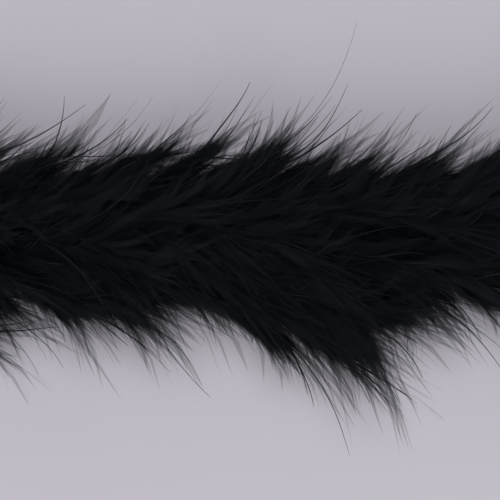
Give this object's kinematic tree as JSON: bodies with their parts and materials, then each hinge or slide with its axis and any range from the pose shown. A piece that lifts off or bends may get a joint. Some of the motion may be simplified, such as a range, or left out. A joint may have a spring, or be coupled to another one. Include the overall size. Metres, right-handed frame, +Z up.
{
  "type": "feather boa",
  "caption": "Fluffy black marabou feather boa with a twisted cord spine, lying in an open horseshoe, its segments hinged so that it bends on the table.",
  "frame": {"origin": "on the table, under the middle of the outline of the horseshoe that the boa lies in", "axes": "+X along the straight middle run, the way the plumes lean; +Y towards the two ends; +Z up"},
  "size_m": [0.9414, 0.7068, 0.103],
  "materials": {
    "core_cord": "matte twisted cord",
    "binding_thread": "soft sheen thread",
    "down_feathers": "soft matte down with a faint grey sheen"
  },
  "bodies": {
    "segment_1": {"core_cord_1": "core_cord", "binding_thread_1": "binding_thread", "feather_tier_1a": "down_feathers", "feather_tier_1b": "down_feathers", "feather_tier_1c": "down_feathers", "end_whipping_left": "binding_thread"},
    "segment_2": {"core_cord_2": "core_cord", "binding_thread_2": "binding_thread", "feather_tier_2a": "down_feathers", "feather_tier_2b": "down_feathers", "feather_tier_2c": "down_feathers"},
    "segment_3": {"core_cord_3": "core_cord", "binding_thread_3": "binding_thread", "feather_tier_3a": "down_feathers", "feather_tier_3b": "down_feathers", "feather_tier_3c": "down_feathers"},
    "segment_4": {"core_cord_4": "core_cord", "binding_thread_4": "binding_thread", "feather_tier_4a": "down_feathers", "feather_tier_4b": "down_feathers", "feather_tier_4c": "down_feathers"},
    "segment_5": {"core_cord_5": "core_cord", "binding_thread_5": "binding_thread", "feather_tier_5a": "down_feathers", "feather_tier_5b": "down_feathers", "feather_tier_5c": "down_feathers"},
    "segment_6": {"core_cord_6": "core_cord", "binding_thread_6": "binding_thread", "feather_tier_6a": "down_feathers", "feather_tier_6b": "down_feathers", "feather_tier_6c": "down_feathers"},
    "segment_7": {"core_cord_7": "core_cord", "binding_thread_7": "binding_thread", "feather_tier_7a": "down_feathers", "feather_tier_7b": "down_feathers", "feather_tier_7c": "down_feathers"},
    "segment_8": {"core_cord_8": "core_cord", "binding_thread_8": "binding_thread", "feather_tier_8a": "down_feathers", "feather_tier_8b": "down_feathers", "feather_tier_8c": "down_feathers"},
    "segment_9": {"core_cord_9": "core_cord", "binding_thread_9": "binding_thread", "feather_tier_9a": "down_feathers", "feather_tier_9b": "down_feathers", "feather_tier_9c": "down_feathers", "end_whipping_right": "binding_thread"}
  },
  "joints": [
    {"name": "bend_1_2", "type": "hinge", "parent": "segment_2", "child": "segment_1", "pos_m": [-0.39358, 0.11789, 0.04], "axis": [0, 0, -1], "range_deg": [-25, 10]},
    {"name": "bend_2_3", "type": "hinge", "parent": "segment_3", "child": "segment_2", "pos_m": [-0.38312, -0.08158, 0.04], "axis": [0, 0, -1], "range_deg": [-25, 10]},
    {"name": "bend_3_4", "type": "hinge", "parent": "segment_4", "child": "segment_3", "pos_m": [-0.2917, -0.2488, 0.04], "axis": [0, 0, -1], "range_deg": [-25, 10]},
    {"name": "bend_4_5", "type": "hinge", "parent": "segment_5", "child": "segment_4", "pos_m": [-0.0964, -0.27493, 0.04], "axis": [0, 0, -1], "range_deg": [-25, 10]},
    {"name": "bend_5_6", "type": "hinge", "parent": "segment_5", "child": "segment_6", "pos_m": [0.1036, -0.27493, 0.04], "axis": [0, 0, 1], "range_deg": [-25, 10]},
    {"name": "bend_6_7", "type": "hinge", "parent": "segment_6", "child": "segment_7", "pos_m": [0.29827, -0.24719, 0.04], "axis": [0, 0, 1], "range_deg": [-25, 10]},
    {"name": "bend_7_8", "type": "hinge", "parent": "segment_7", "child": "segment_8", "pos_m": [0.37728, -0.07513, 0.04], "axis": [0, 0, 1], "range_deg": [-25, 10]},
    {"name": "bend_8_9", "type": "hinge", "parent": "segment_8", "child": "segment_9", "pos_m": [0.37206, 0.12437, 0.04], "axis": [0, 0, 1], "range_deg": [-25, 10]}
  ]
}
